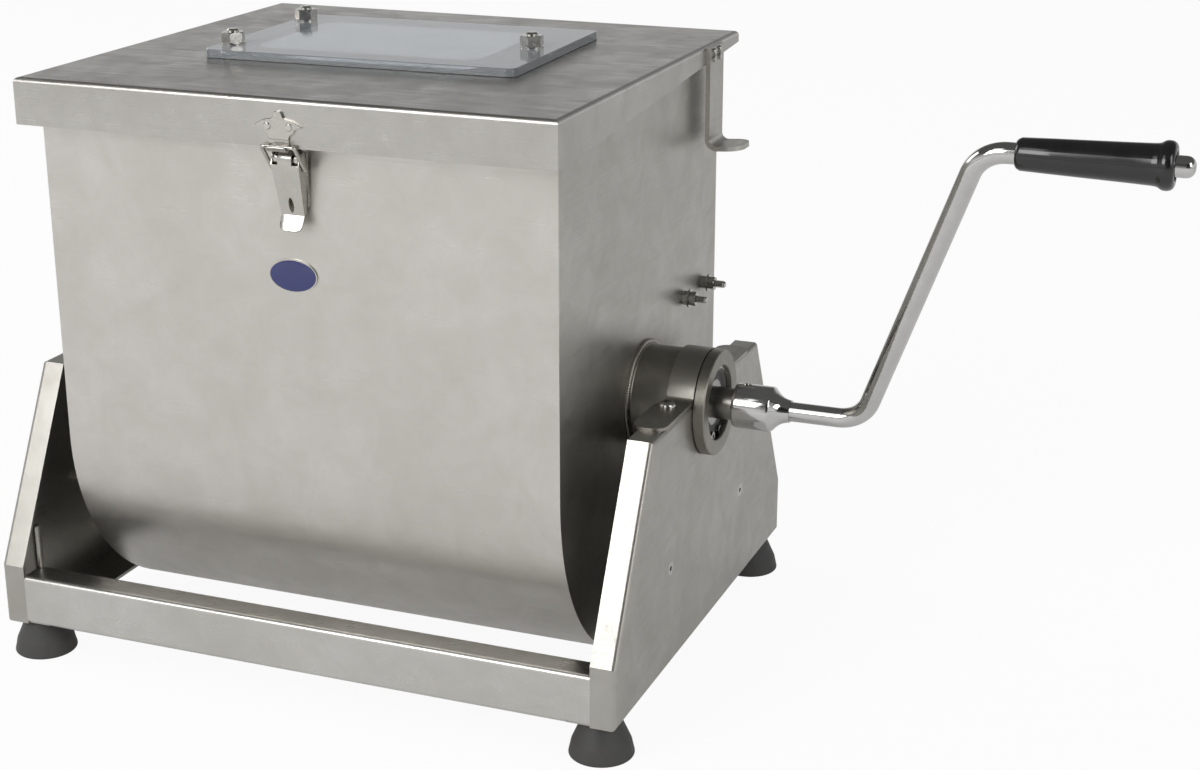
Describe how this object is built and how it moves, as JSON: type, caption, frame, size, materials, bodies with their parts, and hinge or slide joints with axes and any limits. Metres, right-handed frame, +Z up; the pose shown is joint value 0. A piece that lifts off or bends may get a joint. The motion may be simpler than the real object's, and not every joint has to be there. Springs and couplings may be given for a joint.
{
  "type": "hand cranked dough kneader",
  "caption": "Lidded stainless tub with a round bottom that tilts in a low stand; a side crank turns the kneading paddles inside.",
  "frame": {"origin": "on the bench, midway between the four feet, below the middle of the tub", "axes": "+X along the shaft towards the crank, +Y from the latch side to the hinge side, +Z up"},
  "size_m": [0.7084, 0.3292, 0.392],
  "materials": {
    "stainless_sheet": "satin stainless sheet, folded and welded",
    "turned_steel": "turned stainless, fine tool marks",
    "latch_steel": "pressed stainless, tumbled",
    "fastener_steel": "bright plated steel",
    "chromed_steel": "polished chrome",
    "black_plastic": "glossy moulded plastic",
    "foot_rubber": "matt moulded rubber",
    "seal_rubber": "matt rubber",
    "clear_acrylic": "slightly milky clear acrylic"
  },
  "bodies": {
    "stand": {"cheek_left": "stainless_sheet", "cheek_right": "stainless_sheet", "front_rail": "stainless_sheet", "rear_rail": "stainless_sheet", "strap_left": "stainless_sheet", "strap_right": "stainless_sheet", "strap_screws": "fastener_steel", "strap_nuts": "fastener_steel", "foot_pads": "foot_rubber", "foot_studs": "fastener_steel", "foot_lock_nuts": "fastener_steel", "cheek_screws": "fastener_steel", "cheek_screw_nuts": "fastener_steel"},
    "tub": {"tub_wrapper": "stainless_sheet", "tub_end_left": "stainless_sheet", "tub_end_right": "stainless_sheet", "trunnion_left": "turned_steel", "trunnion_right": "turned_steel", "bearing_outer_left": "turned_steel", "bearing_outer_right": "turned_steel", "circlip_left": "fastener_steel", "circlip_right": "fastener_steel", "shaft_seal_left": "seal_rubber", "shaft_seal_right": "seal_rubber", "side_studs": "fastener_steel", "side_stud_nuts": "fastener_steel", "side_stud_washers": "fastener_steel", "latch_base": "latch_steel", "latch_rivets": "fastener_steel", "latch_pin": "fastener_steel", "hinge_leaf_tub": "stainless_sheet", "hinge_pin": "fastener_steel"},
    "shaft": {"mixing_shaft": "turned_steel", "bearing_inner_left": "turned_steel", "bearing_inner_right": "turned_steel", "paddle_1": "stainless_sheet", "paddle_2": "stainless_sheet", "paddle_3": "stainless_sheet", "paddle_4": "stainless_sheet", "paddle_5": "stainless_sheet", "paddle_6": "stainless_sheet", "crank_socket": "chromed_steel", "crank_rod": "chromed_steel", "crank_grub_screw": "fastener_steel"},
    "grip": {"grip": "black_plastic"},
    "lid": {"lid_panel": "stainless_sheet", "window_plate": "clear_acrylic", "window_gasket": "seal_rubber", "window_bolts": "fastener_steel", "window_nuts": "fastener_steel", "window_washers": "fastener_steel", "hinge_leaf_lid": "stainless_sheet", "latch_keeper": "latch_steel", "keeper_rivets": "fastener_steel", "lid_bracket": "stainless_sheet", "lid_bracket_screws": "fastener_steel"},
    "latch_lever": {"latch_lever": "latch_steel"},
    "latch_bail": {"latch_bail": "latch_steel"}
  },
  "joints": [
    {"name": "tub_tilt", "type": "hinge", "parent": "stand", "child": "tub", "pos_m": [0, 0, 0.1736], "axis": [1, 0, 0], "range_deg": [0, 74]},
    {"name": "crank_spin", "type": "hinge", "parent": "tub", "child": "shaft", "pos_m": [0, 0, 0.1736], "axis": [1, 0, 0], "continuous": true},
    {"name": "grip_spin", "type": "hinge", "parent": "shaft", "child": "grip", "pos_m": [0.3973, -0.05, 0.3555], "axis": [1, 0, 0], "continuous": true},
    {"name": "lid_hinge", "type": "hinge", "parent": "tub", "child": "lid", "pos_m": [0, 0.1559, 0.3716], "axis": [-1, 0, 0], "range_deg": [0, 105]},
    {"name": "latch_lever", "type": "hinge", "parent": "tub", "child": "latch_lever", "pos_m": [0.004, -0.1465, 0.341], "axis": [-1, 0, 0], "range_deg": [0, 80]},
    {"name": "latch_bail", "type": "hinge", "parent": "latch_lever", "child": "latch_bail", "pos_m": [0.004, -0.1459, 0.334], "axis": [-1, 0, 0], "range_deg": [-63, 0.5]}
  ],
  "couplings": [
    {"joint": "latch_bail", "follows": "latch_lever", "ratio": -0.78}
  ]
}
